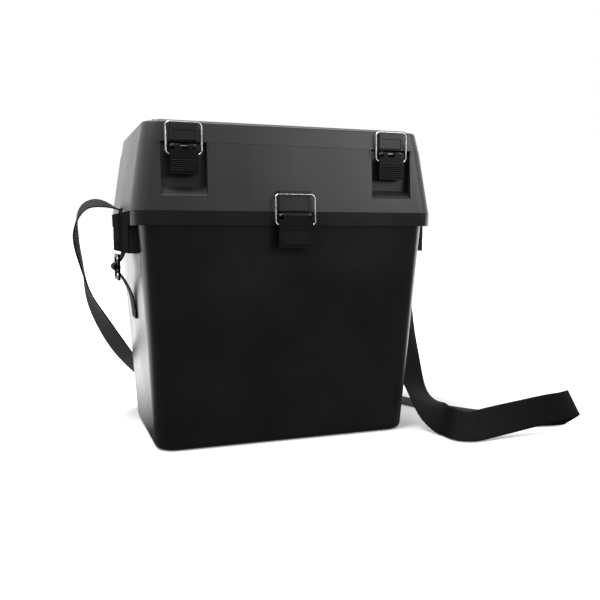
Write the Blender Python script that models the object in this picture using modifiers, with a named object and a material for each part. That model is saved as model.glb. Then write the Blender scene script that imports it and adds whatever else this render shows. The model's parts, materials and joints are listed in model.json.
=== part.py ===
"""Moulded fishing seat box: a tapered tub, a deep lid that holds a tackle tray, a seat cap on top of it,
three wire-bail latches, pinned rear hinges, a lift-out tray and a shoulder strap with its two sliders.

Metres, +Z up, front towards -Y. The origin is the middle of the footprint on the ground.
"""
from math import cos, pi, radians, sin

import bmesh
import bpy
import numpy as np
from mathutils import Vector

# ---- driving dimensions ----
HEIGHT = 0.400            # ground to the top of the seat panel
GAP = 0.0003              # clearance between pieces that rest on each other
WALL = 0.003              # moulded wall
CORNER = 0.025            # vertical corner radius of the tub
CORNER_STEPS = 6          # flats in one rounded corner
EDGE_STEPS = 4            # flats along the rounded bottom edge

BASE = (0.1685, 0.1040)   # half width and half depth of the tub at the ground
NECK = (0.1865, 0.1205)   # the same just under the rim
RIM = (0.1975, 0.1235)    # the same at the rim flange
BASE_EDGE = 0.008         # radius along the bottom edge
RIM_LOW, RIM_TOP = 0.2756, 0.2925

LID_FOOT = (0.1960, 0.1225)
LID_HEAD = (0.1840, 0.1160)
LID_LOW, LID_TOP = RIM_TOP + GAP, 0.3726
LID_FLOOR = 0.3010        # underside of the tray floor
LIP_LOW = 0.2860          # the locating lip hangs this low inside the tub

CAP_FOOT = (0.1832, 0.1152)
CAP_HEAD = (0.1795, 0.1115)
CAP_LOW, CAP_EDGE = LID_TOP + GAP, 0.3970
SEAT_INSET = 0.010        # the seat panel stands in from the edge of the cap

PIN_R, HINGE_R = 0.0015, 0.0042
LID_AXIS = (0.1280, RIM_TOP)
CAP_AXIS = (0.1205, LID_TOP)
LID_HINGE_X, CAP_HINGE_X = 0.120, 0.110
HINGE_HALF, KNUCKLE_HALF = 0.022, 0.0095

WIRE_R = 0.0011
SMALL_LATCH_X = 0.134

LUG_HALF, LUG_LOW = 0.090, 0.2425
SLOT = (0.1885, 0.1935)   # strap slot through the rim, from and to in X
STRAP_HALF, STRAP_THICK = 0.020, 0.0018
GROUND_CLEAR = 0.0014     # the strap's middle stays this high over an edge that lies on the ground

# The strap's route from the left slot round behind the box and back up to the right slot:
# the middle of the webbing, then the direction of its width towards the edge that is rearmost or upper.
STRAP_ROUTE = [
    (-0.1910, 0.000, 0.2905, 0.00, 1.00, 0.00),
    (-0.1925, 0.000, 0.2938, 0.00, 1.00, 0.00),
    (-0.1975, 0.000, 0.2968, 0.00, 1.00, 0.05),
    (-0.2090, 0.000, 0.3018, 0.07, 0.99, 0.15),
    (-0.2243, 0.000, 0.3050, 0.03, 0.96, 0.27),
    (-0.2388, 0.001, 0.3010, -0.05, 0.97, 0.20),
    (-0.2485, 0.003, 0.2875, 0.04, 0.99, 0.16),
    (-0.2517, 0.008, 0.2664, 0.18, 0.95, 0.24),
    (-0.2480, 0.016, 0.2411, 0.12, 0.93, 0.34),
    (-0.2420, 0.026, 0.2164, 0.00, 0.91, 0.42),
    (-0.2362, 0.038, 0.1936, -0.20, 0.86, 0.46),
    (-0.2266, 0.056, 0.1677, -0.48, 0.78, 0.36),
    (-0.2112, 0.080, 0.1364, -0.65, 0.73, 0.21),
    (-0.1900, 0.108, 0.1004, -0.70, 0.70, 0.10),
    (-0.1696, 0.130, 0.0713, -0.67, 0.73, 0.12),
    (-0.1450, 0.150, 0.0440, -0.60, 0.78, 0.14),
    (-0.1100, 0.166, 0.0210, -0.40, 0.90, 0.10),
    (-0.0650, 0.173, 0.0070, -0.15, 0.99, 0.00),
    (-0.0100, 0.175, 0.0026, 0.00, 1.00, 0.00),
    (0.0500, 0.172, 0.0022, 0.10, 1.00, 0.00),
    (0.1100, 0.160, 0.0022, 0.30, 0.95, 0.00),
    (0.1650, 0.134, 0.0022, 0.55, 0.83, 0.00),
    (0.2100, 0.094, 0.0022, 0.76, 0.65, 0.00),
    (0.2400, 0.045, 0.0022, 0.90, 0.43, 0.00),
    (0.2600, -0.004, 0.0022, 0.90, 0.43, 0.00),
    (0.2830, -0.045, 0.0024, 0.78, 0.62, 0.02),
    (0.3100, -0.095, 0.0040, 0.55, 0.82, 0.12),
    (0.3380, -0.136, 0.0090, 0.05, 0.90, 0.40),
    (0.3600, -0.156, 0.0142, -0.45, 0.62, 0.64),
    (0.3790, -0.1635, 0.0235, -0.66, 0.25, 0.70),
    (0.3896, -0.172, 0.0337, -0.54, 0.10, 0.84),
    (0.3740, -0.1805, 0.0350, -0.28, 0.04, 0.96),
    (0.3398, -0.184, 0.0328, -0.22, 0.08, 0.97),
    (0.3079, -0.184, 0.0291, -0.17, 0.18, 0.96),
    (0.2706, -0.184, 0.0247, -0.12, 0.30, 0.94),
    (0.2420, -0.184, 0.0212, -0.09, 0.42, 0.90),
    (0.2200, -0.183, 0.0188, 0.00, 0.48, 0.87),
    (0.2062, -0.174, 0.0188, 0.14, 0.52, 0.84),
    (0.2015, -0.154, 0.0190, 0.22, 0.62, 0.75),
    (0.1998, -0.128, 0.0250, 0.36, 0.70, 0.60),
    (0.1990, -0.101, 0.0345, 0.58, 0.76, 0.28),
    (0.1994, -0.074, 0.0480, 0.88, 0.40, 0.00),
    (0.2000, -0.052, 0.0750, 0.98, 0.05, -0.05),
    (0.2060, -0.034, 0.1150, 0.90, 0.40, 0.00),
    (0.2150, -0.019, 0.1650, 0.65, 0.75, 0.00),
    (0.2220, -0.008, 0.2150, 0.35, 0.93, 0.00),
    (0.2225, -0.002, 0.2600, 0.10, 1.00, 0.00),
    (0.2160, 0.000, 0.2870, 0.00, 1.00, 0.00),
    (0.2070, 0.000, 0.2970, 0.00, 1.00, 0.00),
    (0.1975, 0.000, 0.2968, 0.00, 1.00, 0.00),
    (0.1925, 0.000, 0.2938, 0.00, 1.00, 0.00),
    (0.1910, 0.000, 0.2905, 0.00, 1.00, 0.00),
]
STRAP_STEPS = 132
FOLD = (0.3896, -0.172, 0.0337)   # where the strap turns back on itself
FOLD_REACH = (0.012, 0.050)       # its cross lines are all FOLD_LINE this near it, and square this far off
FOLD_LINE = (-0.491, 0.085, 0.910)

# The free end of the webbing, left side: through the slot, down inside the lug, over the slider's
# middle bar and down to the cut end against the tub. X is outwards, then Z.
TAIL_ROUTE = [
    (0.1910, 0.2900), (0.1910, 0.2780), (0.1911, 0.2650), (0.1913, 0.2510), (0.1920, 0.2450),
    (0.1935, 0.2405), (0.1956, 0.2358), (0.1980, 0.2320), (0.2012, 0.2292), (0.2046, 0.2268),
    (0.2064, 0.2252), (0.2070, 0.2230), (0.2064, 0.2208), (0.2046, 0.2192), (0.2012, 0.2168),
    (0.1978, 0.2132), (0.1950, 0.2090), (0.1918, 0.2035), (0.1878, 0.1955), (0.1844, 0.1870),
    (0.1823, 0.1770), (0.1809, 0.1660), (0.1800, 0.1560),
]
TAIL_STEPS = 46

# ---- scene set-up ----
for old in list(bpy.data.objects):
    bpy.data.objects.remove(old, do_unlink=True)

PARTS = bpy.data.collections.new("seat_box")
CUTTERS = bpy.data.collections.new("cutters")
bpy.context.scene.collection.children.link(PARTS)
bpy.context.scene.collection.children.link(CUTTERS)


def plastic(name, colour, roughness, metallic=0.0):
    """A plain Principled material."""
    made = bpy.data.materials.new(name)
    made.use_nodes = True
    shader = made.node_tree.nodes["Principled BSDF"]
    shader.inputs["Base Color"].default_value = (*colour, 1.0)
    shader.inputs["Roughness"].default_value = roughness
    shader.inputs["Metallic"].default_value = metallic
    return made


# ---- shape helpers: every mesh is made in place, then given its own origin ----
def as_object(name, mesh, helper=False):
    """Links a mesh as a part, or as a hidden cutter or adder."""
    made = bpy.data.objects.new(name, mesh)
    (CUTTERS if helper else PARTS).objects.link(made)
    made.hide_render = helper
    made.display_type = "WIRE" if helper else "TEXTURED"
    return made


def section(half, corner, z):
    """A rounded rectangle, half = (half width, half depth), walked once round at height z."""
    points = []
    for turn in range(4):
        sx, sy = ((1, 1), (-1, 1), (-1, -1), (1, -1))[turn]
        centre = (sx * (half[0] - corner), sy * (half[1] - corner))
        for step in range(CORNER_STEPS + 1):
            angle = (turn + step / CORNER_STEPS) * pi / 2
            points.append((centre[0] + corner * cos(angle), centre[1] + corner * sin(angle), z))
    return points


def loft(name, sections, capped=(True, True)):
    """Skins a run of sections that have the same number of points, and closes the ends asked for."""
    bm = bmesh.new()
    rings = [[bm.verts.new(p) for p in points] for points in sections]
    count = len(rings[0])
    for low, high in zip(rings, rings[1:]):
        for i in range(count):
            j = (i + 1) % count
            bm.faces.new((low[i], low[j], high[j], high[i]))
    for end, wanted in zip((rings[0], rings[-1]), capped):
        if wanted:
            bm.faces.new(end)
    bm.normal_update()
    bmesh.ops.recalc_face_normals(bm, faces=bm.faces)
    mesh = bpy.data.meshes.new(name)
    bm.to_mesh(mesh)
    bm.free()
    return as_object(name, mesh)


def block(name, low, high, helper=True, slant=None):
    """A box between two corners. slant(x, z) may give a vertex another x, to follow a sloping wall."""
    bm = bmesh.new()
    bmesh.ops.create_cube(bm, size=1.0)
    for v in bm.verts:
        v.co = [low[k] if v.co[k] < 0 else high[k] for k in range(3)]
        if slant:
            v.co.x = slant(v.co.x, v.co.z)
    bm.normal_update()
    bmesh.ops.recalc_face_normals(bm, faces=bm.faces)
    mesh = bpy.data.meshes.new(name)
    bm.to_mesh(mesh)
    bm.free()
    return as_object(name, mesh, helper)


def rod(name, x_from, x_to, y, z, radius, sides=16, helper=True):
    """A round bar along X."""
    bm = bmesh.new()
    bmesh.ops.create_cone(bm, cap_ends=True, segments=sides, radius1=radius, radius2=radius, depth=1.0)
    for v in bm.verts:
        v.co = ((x_from + x_to) / 2 + v.co.z * (x_to - x_from), y + v.co.x, z + v.co.y)
    mesh = bpy.data.meshes.new(name)
    bm.to_mesh(mesh)
    bm.free()
    made = as_object(name, mesh, helper)
    mesh.shade_smooth()
    mesh.set_sharp_from_angle(angle=radians(40))
    return made


def join(body, tool, operation):
    """A Boolean that stays live on the body."""
    cut = body.modifiers.new(f"{operation.lower()} {tool.name}", "BOOLEAN")
    cut.operation = operation
    cut.solver = "EXACT"
    cut.object = tool


def set_origin(part, origin, parent=None):
    """Moves the part's origin to a point, leaving its shape where it is, and hangs it on an empty."""
    point = Vector(origin)
    for v in part.data.vertices:
        v.co -= point
    part.location = point
    if parent:
        part.parent = parent
        part.location = point - Vector(parent["at"])


def axle_empty(name, origin, parent=None):
    """An empty on a joint's axis. It keeps its world place, so that its children can be set from it."""
    made = bpy.data.objects.new(name, None)
    PARTS.objects.link(made)
    made.empty_display_size = 0.02
    made["at"] = Vector(origin)
    made.location = origin
    if parent:
        made.parent = parent
        made.location = made.location - Vector(parent["at"])
    return made


def blend(low, high, t):
    """A point between two half sizes."""
    return tuple(a + (b - a) * t for a, b in zip(low, high))


def wall_half(z):
    """Half width and half depth of the tub's outside at a height."""
    return blend(BASE, NECK, (z - BASE_EDGE) / (RIM_LOW - BASE_EDGE))


def inset(half, by):
    return tuple(h - by for h in half)


# ---- materials ----
BLACK = plastic("black polypropylene", (0.018, 0.018, 0.019), 0.38)
GREY = plastic("charcoal polypropylene", (0.055, 0.055, 0.058), 0.42)
TRAY = plastic("dark grey tray polypropylene", (0.035, 0.035, 0.037), 0.5)
LEVER = plastic("black nylon", (0.012, 0.012, 0.013), 0.45)
STEEL = plastic("bright steel", (0.62, 0.62, 0.64), 0.22, 1.0)
WEBBING = plastic("black polypropylene webbing", (0.015, 0.015, 0.016), 0.8)


def finish(part, material):
    part.data.materials.append(material)
    return part


# ---- hinges ----
def hinge_half(body, at_x, axis, reach, centre):
    """Knuckles on one side of a pinned hinge: the middle one, or the two outer ones. reach is the
    (y, z from, z to) of the web that ties them to the body."""
    if centre:
        spans = [(at_x - KNUCKLE_HALF, at_x + KNUCKLE_HALF)]
    else:
        edge = KNUCKLE_HALF + 0.0005
        spans = [(at_x - HINGE_HALF, at_x - edge), (at_x + edge, at_x + HINGE_HALF)]
    for number, (low, high) in enumerate(spans):
        tag = f"{body.name} knuckle {at_x:+.2f} {number}"
        join(body, rod(tag, low, high, *axis, HINGE_R), "UNION")
        join(body, block(f"{tag} web", (low, reach[0], reach[1]), (high, axis[0], reach[2])), "UNION")
    bore = rod(f"{body.name} bore {at_x:+.2f}", at_x - 0.03, at_x + 0.03, *axis, PIN_R + GAP)
    join(body, bore, "DIFFERENCE")


def hinge_pins(kind, at_x, axis):
    for side, sign in (("left", -1), ("right", 1)):
        middle = sign * at_x
        name = f"{kind}_hinge_pin_{side}"
        pin = rod(name, middle - HINGE_HALF, middle + HINGE_HALF, *axis, PIN_R, helper=False)
        finish(pin, STEEL)
        set_origin(pin, (middle, *axis))


# ---- tub ----
def make_tub():
    inner_neck = inset(NECK, WALL)
    floor = inset(wall_half(BASE_EDGE), WALL)
    turn = [step / EDGE_STEPS * pi / 2 for step in range(1, EDGE_STEPS)]
    underside = [section(inset(BASE, BASE_EDGE * (1 - cos(a))), CORNER - BASE_EDGE * (1 - cos(a)),
                         BASE_EDGE * (1 - sin(a))) for a in turn]
    tub = loft("tub", [
        section(inset(floor, 0.004), CORNER - WALL - 0.004, WALL),
        section(floor, CORNER - WALL, WALL + 0.004),
        section(inner_neck, CORNER - WALL, RIM_TOP),
        section(RIM, CORNER, RIM_TOP),
        section(inset(RIM, 0.0005), CORNER, RIM_LOW),
        section(NECK, CORNER, RIM_LOW),
        section(BASE, CORNER, BASE_EDGE),
        *underside,
        section(inset(BASE, BASE_EDGE), CORNER - BASE_EDGE, 0.0),
    ])
    for side, sign in (("left", -1), ("right", 1)):
        add_strap_lug(tub, side, sign)
        ledge = block(f"{side} tray ledge", (sign * 0.166, -0.060, 0.2115), (sign * 0.181, 0.060, 0.2175))
        join(tub, ledge, "UNION")
        hinge_half(tub, sign * LID_HINGE_X, LID_AXIS, (0.1215, 0.2840, 0.2915), centre=False)
    add_pivot_ears(tub, CENTRE_LATCH)
    return finish(tub, BLACK)


def add_strap_lug(tub, side, sign):
    """The box-shaped lug under the rim, open below, that the strap drops through. Its inner side
    follows the sloping wall."""
    buried = block(f"{side} lug", (0.0, -LUG_HALF, LUG_LOW), (1.0, LUG_HALF, RIM_LOW + 0.004),
                   slant=lambda x, z: sign * (wall_half(z)[0] - WALL / 2 if x < 0.5 else RIM[0] - 0.0007))
    join(tub, buried, "UNION")
    skin = 0.0005
    hollow = block(f"{side} lug hollow", (0.0, WALL - LUG_HALF, LUG_LOW - 0.002),
                   (1.0, LUG_HALF - WALL, 0.2885),
                   slant=lambda x, z: sign * (wall_half(z)[0] + skin if x < 0.5 else RIM[0] - WALL))
    join(tub, hollow, "DIFFERENCE")
    slot = block(f"{side} strap slot", (sign * SLOT[0], -0.0225, 0.280), (sign * SLOT[1], 0.0225, 0.300))
    join(tub, slot, "DIFFERENCE")


# ---- lid: the tackle tray is moulded in it, and the small latches sit in two recesses in its front ----
RECESS_HALF, RECESS_BACK = 0.0275, -0.1080
RECESS_FRONT_LOW, RECESS_BACK_LOW = 0.3103, 0.3213


def lid_half(z):
    return blend(LID_FOOT, LID_HEAD, (z - LID_LOW) / (LID_TOP - LID_LOW))


def make_lid():
    corner = 0.022
    lip_out = inset(NECK, WALL + 0.0015)
    lip_in = inset(lip_out, 0.0025)
    floor_top = LID_FLOOR + WALL
    lid = loft("lid", [
        section(lip_in, corner - 0.0025, LID_FLOOR),
        section(lip_in, corner - 0.0025, LIP_LOW),
        section(lip_out, corner, LIP_LOW),
        section(lip_out, corner, LID_FLOOR),
        section(inset(lid_half(LID_FLOOR), WALL), corner - WALL, LID_FLOOR),
        section(inset(LID_FOOT, WALL), corner - WALL, LID_LOW),
        section(LID_FOOT, corner, LID_LOW),
        section(LID_HEAD, corner, LID_TOP),
        section(inset(LID_HEAD, WALL), corner - WALL, LID_TOP),
        section(inset(lid_half(floor_top), WALL), corner - WALL, floor_top),
    ])
    for side, sign in (("left", -1), ("right", 1)):
        add_latch_recess(lid, side, sign * SMALL_LATCH_X)
        notch = block(f"{side} strap notch", (sign * 0.1870, -0.0235, 0.288), (sign * 0.205, 0.0235, 0.2985))
        join(lid, notch, "DIFFERENCE")
        hinge_half(lid, sign * LID_HINGE_X, LID_AXIS, (0.1205, 0.2935, 0.2985), centre=True)
        hinge_half(lid, sign * CAP_HINGE_X, CAP_AXIS, (0.1145, 0.3640, 0.3716), centre=False)
    add_keeper(lid, CENTRE_LATCH)
    for latch in SMALL_LATCHES:
        add_pivot_ears(lid, latch)
    set_origin(lid, (0, *LID_AXIS), LID_HINGE)
    return finish(lid, GREY)


def add_latch_recess(lid, side, at_x):
    """A walled pocket in the front, open at the seam, with a sloping ledge at its foot."""
    wide = RECESS_HALF + WALL
    housing = block(f"{side} recess housing", (at_x - wide, -0.1170, 0.3025),
                    (at_x + wide, RECESS_BACK + WALL, LID_TOP - GAP))
    join(lid, housing, "UNION")
    pocket = block(f"{side} recess", (at_x - RECESS_HALF, -0.140, RECESS_FRONT_LOW),
                   (at_x + RECESS_HALF, RECESS_BACK, LID_TOP + 0.01))
    slope = (RECESS_BACK_LOW - RECESS_FRONT_LOW) / (RECESS_BACK - lid_front(RECESS_FRONT_LOW))
    for v in pocket.data.vertices:
        if v.co.z < LID_TOP:
            v.co.z = RECESS_BACK_LOW + slope * (v.co.y - RECESS_BACK)
    join(lid, pocket, "DIFFERENCE")


def lid_front(z):
    return -lid_half(z)[1]


# ---- seat cap ----
def make_cap():
    """A shallow shell with a raised seat panel, ribbed underneath."""
    corner, edge = 0.020, 0.003
    panel = inset(CAP_HEAD, SEAT_INSET)
    skin = [
        section(CAP_FOOT, corner, CAP_LOW),
        section(CAP_HEAD, corner, CAP_EDGE - edge),
        section(inset(CAP_HEAD, edge * 0.3), corner - edge * 0.3, CAP_EDGE - edge * 0.3),
        section(inset(CAP_HEAD, edge), corner - edge, CAP_EDGE),
        section(panel, corner - SEAT_INSET, CAP_EDGE),
        section(inset(panel, 0.003), corner - SEAT_INSET - 0.003, HEIGHT),
    ]
    under = [
        section(inset(panel, 0.004), corner - SEAT_INSET - 0.004, HEIGHT - WALL),
        section(inset(CAP_HEAD, WALL + 0.001), corner - WALL, CAP_EDGE - WALL - 0.001),
        section(inset(CAP_FOOT, WALL), corner - WALL, CAP_LOW),
    ]
    cap = loft("cap", under + skin)
    rib_top = HEIGHT - WALL + 0.001
    for number, at in enumerate((-0.09, 0.0, 0.09)):
        rib = block(f"cross rib {number}", (at - 0.001, -0.100, 0.3830), (at + 0.001, 0.100, rib_top))
        join(cap, rib, "UNION")
    for number, at in enumerate((-0.045, 0.045)):
        rib = block(f"long rib {number}", (-0.168, at - 0.001, 0.3850), (0.168, at + 0.001, rib_top))
        join(cap, rib, "UNION")
    for latch in SMALL_LATCHES:
        add_keeper(cap, latch)
    for sign in (-1, 1):
        hinge_half(cap, sign * CAP_HINGE_X, CAP_AXIS, (0.1135, 0.3740, 0.3800), centre=True)
    set_origin(cap, (0, *CAP_AXIS), CAP_HINGE)
    return finish(cap, GREY)


# ---- latches: a nylon lever on a steel pin, and a wire bail that hooks on a moulded keeper ----
class Latch:
    """The places of one latch: name, middle in X, lever pivot, bail pivot and bar as (y, z)."""

    def __init__(self, name, at_x, pivot, bail, bar, lever_half, bail_half, lever_low, plate, keeper, split):
        self.name = name
        self.x = at_x
        self.pivot = pivot
        self.bail = bail
        self.bar = bar
        self.lever_half = lever_half
        self.bail_half = bail_half
        self.lever_low = lever_low
        self.plate = plate        # lever plate, y from and to
        self.keeper = keeper      # half width, z from, z to, y front, y buried
        self.split = split        # half of the gap in the middle of the barrel, 0 for none


CENTRE_LATCH = Latch("centre", 0.0, (-0.1290, 0.2880), (-0.1300, 0.2766), (-0.1275, 0.3135), 0.0220, 0.0254,
                     0.2488, (-0.1322, -0.1278), (0.0205, 0.2935, 0.3182, -0.1285, -0.1205), 0.0)
SMALL_LATCHES = [
    Latch(side, sign * SMALL_LATCH_X, (-0.1150, 0.3680), (-0.1176, 0.3580), (-0.1172, 0.3950), 0.0170,
          0.0212, 0.3350, (-0.1192, -0.1148), (0.0165, 0.3745, 0.3935, -0.1183, -0.1125), 0.0045)
    for side, sign in (("left", -1), ("right", 1))
]
BARREL_R = 0.0031
LEVER_PIN_R = 0.0010


def barrel_half(latch):
    return latch.lever_half - 0.006


def add_pivot_ears(body, latch):
    """Two ears that hold the lever's pin."""
    inner, outer = barrel_half(latch) + 0.0005, barrel_half(latch) + 0.0038
    y, z = latch.pivot
    root = RECESS_BACK + 0.001 if latch.split else -RIM[1] + 0.001
    for sign in (-1, 1):
        low, high = sorted((latch.x + sign * inner, latch.x + sign * outer))
        tag = f"{latch.name} ear {sign:+d}"
        join(body, rod(tag, low, high, y, z, BARREL_R), "UNION")
        web = block(f"{tag} web", (low, y, z - BARREL_R + 0.0003), (high, root, z + BARREL_R - 0.0003))
        join(body, web, "UNION")
    past = outer + 0.004
    bore = rod(f"{latch.name} ear bore", latch.x - past, latch.x + past, y, z, LEVER_PIN_R + GAP)
    join(body, bore, "DIFFERENCE")


def add_keeper(body, latch):
    """The block that the bail hooks on. The centre one has a groove with a lip over the wire, and the
    small ones a shelf."""
    half, low, high, front, buried = latch.keeper
    keeper = block(f"{latch.name} keeper", (latch.x - half, front, low), (latch.x + half, buried, high))
    join(body, keeper, "UNION")
    panel = block(f"{latch.name} keeper panel", (latch.x - half + 0.003, front - 0.001, low - 0.001),
                  (latch.x + half - 0.003, front + 0.0008, high - 0.007))
    join(body, panel, "DIFFERENCE")
    y, z = latch.bar
    reach = WIRE_R + GAP
    if high > z:
        groove = block(f"{latch.name} groove", (latch.x - half - 0.001, front - 0.002, z - reach),
                       (latch.x + half + 0.001, y + reach, z + reach))
        join(body, groove, "DIFFERENCE")


def make_lever(latch, parent):
    y, z = latch.pivot
    half = barrel_half(latch)
    back, front = max(latch.plate), min(latch.plate)
    plate_top = z - BARREL_R - 0.0014
    lever = block(f"{latch.name}_lever", (latch.x - latch.lever_half, front, latch.lever_low),
                  (latch.x + latch.lever_half, back, plate_top), helper=False)
    spans = [(-half, -latch.split), (latch.split, half)] if latch.split else [(-half, half)]
    for number, (low, high) in enumerate(spans):
        tag = f"{latch.name} barrel {number}"
        neck = block(f"{tag} neck", (latch.x + low, front, plate_top - 0.001),
                     (latch.x + high, front + 0.0030, z))
        join(lever, neck, "UNION")
        join(lever, rod(tag, latch.x + low, latch.x + high, y, z, BARREL_R), "UNION")
    past = half + 0.002
    bore = rod(f"{latch.name} lever bore", latch.x - past, latch.x + past, y, z, LEVER_PIN_R + GAP)
    join(lever, bore, "DIFFERENCE")
    for sign in (-1, 1):
        outer = latch.x + sign * (latch.lever_half + 0.001)
        inner = latch.x + sign * (latch.lever_half - 0.0032)
        hole = rod(f"{latch.name} bail hole {sign:+d}", min(inner, outer), max(inner, outer), *latch.bail,
                   WIRE_R + GAP)
        join(lever, hole, "DIFFERENCE")
    hinge = axle_empty(f"{latch.name} lever axis", (latch.x, y, z), parent)
    set_origin(lever, (latch.x, y, z), hinge)
    past = half + 0.0048
    pin = rod(f"{latch.name}_lever_pin", latch.x - past, latch.x + past, y, z, LEVER_PIN_R, helper=False)
    set_origin(pin, (latch.x, y, z), parent)
    finish(pin, STEEL)
    finish(lever, LEVER)
    return hinge


def rounded(points, radii, steps=4):
    """A bent wire's centre line: straight runs with an arc at each inner corner."""
    line = [Vector(points[0])]
    for before, corner, after, radius in zip(points, points[1:], points[2:], radii):
        corner = Vector(corner)
        back = (Vector(before) - corner).normalized()
        ahead = (Vector(after) - corner).normalized()
        start, end = corner + back * radius, corner + ahead * radius
        middle = corner + (back + ahead) * radius
        for step in range(steps + 1):
            angle = step / steps * pi / 2
            line.append(middle + (start - middle) * cos(angle) + (end - middle) * sin(angle))
    line.append(Vector(points[-1]))
    return line


def make_bail(latch, lever_axis):
    """The wire loop: its ends turn in to holes in the lever, and its bar lies on the keeper."""
    pivot, bar = Vector((0, *latch.bail)), Vector((0, *latch.bar))
    wide = Vector((latch.bail_half, 0, 0))
    tip = Vector((latch.lever_half - 0.0028, 0, 0))
    corners = [pivot - tip, pivot - wide, bar - wide, bar + wide, pivot + wide, pivot + tip]
    foot = latch.bail_half - latch.lever_half + 0.0006
    line = rounded(corners, (foot, 0.0055, 0.0055, foot))
    curve = bpy.data.curves.new(f"{latch.name}_bail", "CURVE")
    curve.dimensions = "3D"
    curve.bevel_depth = WIRE_R
    curve.bevel_resolution = 2
    curve.use_fill_caps = True
    spline = curve.splines.new("POLY")
    spline.points.add(len(line) - 1)
    for point, at in zip(spline.points, line):
        point.co = (*(at - pivot), 1.0)
    bail = bpy.data.objects.new(curve.name, curve)
    PARTS.objects.link(bail)
    bail.parent = lever_axis
    bail.location = Vector((latch.x, *latch.bail)) - Vector(lever_axis["at"])
    finish(bail, STEEL)


# ---- things inside ----
def make_inner_tray():
    """The lift-out tray, an open surface with its wall grown inwards, and its drop-in partition, which has
    a grip hole to lift it by."""
    top, bottom, low, high = (0.1765, 0.1100), (0.1715, 0.1050), 0.2178, 0.2680
    tray = loft("inner_tray", [
        section(inset(bottom, 0.004), 0.014, low),
        section(bottom, 0.018, low + 0.004),
        section(top, 0.018, high),
    ], capped=(True, False))
    thick = tray.modifiers.new("wall", "SOLIDIFY")
    thick.thickness = 0.002
    thick.offset = -1
    finish(tray, TRAY)
    foot, head = 0.1000, 0.1074   # half the partition's length, low down and at its top
    partition = block("tray_partition", (-0.001, -foot, low + 0.0025), (0.001, foot, high - 0.002),
                      helper=False)
    for v in partition.data.vertices:
        v.co.y *= head / foot if v.co.z > high - 0.003 else 1.0
    grip = block("grip hole", (-0.01, -0.040, high - 0.020), (0.01, 0.040, high - 0.007))
    join(partition, grip, "DIFFERENCE")
    set_origin(partition, (0, 0, low))
    finish(partition, TRAY)


def make_dividers():
    """Loose dividers that part the lid's tray: a long one and three short ones behind it."""
    low, high = LID_FLOOR + WALL + GAP, 0.3520
    long_one = block("lid_divider_long", (-0.1775, 0.018, low), (0.1775, 0.020, high), helper=False)
    finish(long_one, TRAY)
    set_origin(long_one, (0, 0.019, low), LID_HINGE)
    for name, at in (("left", -0.090), ("middle", 0.0), ("right", 0.090)):
        short = block(f"lid_divider_{name}", (at - 0.001, 0.0203, low), (at + 0.001, 0.1135, high),
                      helper=False)
        finish(short, TRAY)
        set_origin(short, (at, 0.067, low), LID_HINGE)


# ---- strap ----
def smooth_line(points, steps):
    """A natural cubic spline through the points, evenly spaced along the square root of each chord, so
    that tight bends get more of the steps. Works on any number of columns."""
    points = np.array(points, float)
    knots = np.r_[0, np.cumsum(np.linalg.norm(np.diff(points[:, :3], axis=0), axis=1) ** 0.5)]
    gap = np.diff(knots)
    count = len(points)
    system = np.eye(count)
    right = np.zeros_like(points)
    for i in range(1, count - 1):
        system[i, i - 1:i + 2] = gap[i - 1], 2 * (gap[i - 1] + gap[i]), gap[i]
        right[i] = 6 * ((points[i + 1] - points[i]) / gap[i] - (points[i] - points[i - 1]) / gap[i - 1])
    curving = np.linalg.solve(system, right)
    at = np.linspace(0, knots[-1], steps)
    i = np.clip(np.searchsorted(knots, at, side="right") - 1, 0, count - 2)
    h = gap[i][:, None]
    a = ((knots[i + 1] - at) / gap[i])[:, None]
    b = 1 - a
    bulge = ((a ** 3 - a) * curving[i] + (b ** 3 - b) * curving[i + 1]) * h ** 2 / 6
    return a * points[i] + b * points[i + 1] + bulge


def ruled(centre, across):
    """The width directions, turned square to the line that the webbing follows, but slanted along it near
    the fold, where the webbing bends about a slanted line."""
    along = np.gradient(centre, axis=0)
    along /= np.linalg.norm(along, axis=1)[:, None]
    across = across - along * (across * along).sum(1)[:, None]
    across /= np.linalg.norm(across, axis=1)[:, None]
    distance = np.linalg.norm(centre - FOLD, axis=1)
    near = np.interp(distance, FOLD_REACH, (1.0, 0.0))[:, None]
    return across * (1 - near) + np.array(FOLD_LINE) * near


def ribbon(name, centre, across):
    """A flat strap: an open strip along the centre line, given its thickness by Solidify."""
    bm = bmesh.new()
    left = [bm.verts.new(p) for p in centre - STRAP_HALF * across]
    right = [bm.verts.new(p) for p in centre + STRAP_HALF * across]
    for i in range(len(centre) - 1):
        bm.faces.new((left[i], right[i], right[i + 1], left[i + 1]))
    mesh = bpy.data.meshes.new(name)
    bm.to_mesh(mesh)
    bm.free()
    strap = as_object(name, mesh)
    thick = strap.modifiers.new("thickness", "SOLIDIFY")
    thick.thickness = STRAP_THICK
    thick.offset = 0
    return finish(strap, WEBBING)


def make_strap():
    """The strap rests on the ground where it reaches it: its middle is lifted until both edges clear."""
    line = smooth_line(STRAP_ROUTE, STRAP_STEPS)
    centre, across = line[:, :3], line[:, 3:]
    for _ in range(3):
        reach = STRAP_HALF * abs(ruled(centre, across)[:, 2])
        centre[:, 2] = np.maximum(centre[:, 2], reach + GROUND_CLEAR)
    ribbon("strap", centre, ruled(centre, across))


def make_strap_end(side, sign):
    route = smooth_line([(sign * x, 0.0, z) for x, z in TAIL_ROUTE], TAIL_STEPS)
    ribbon(f"strap_end_{side}", route, np.tile((0.0, 1.0, 0.0), (len(route), 1)))


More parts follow.
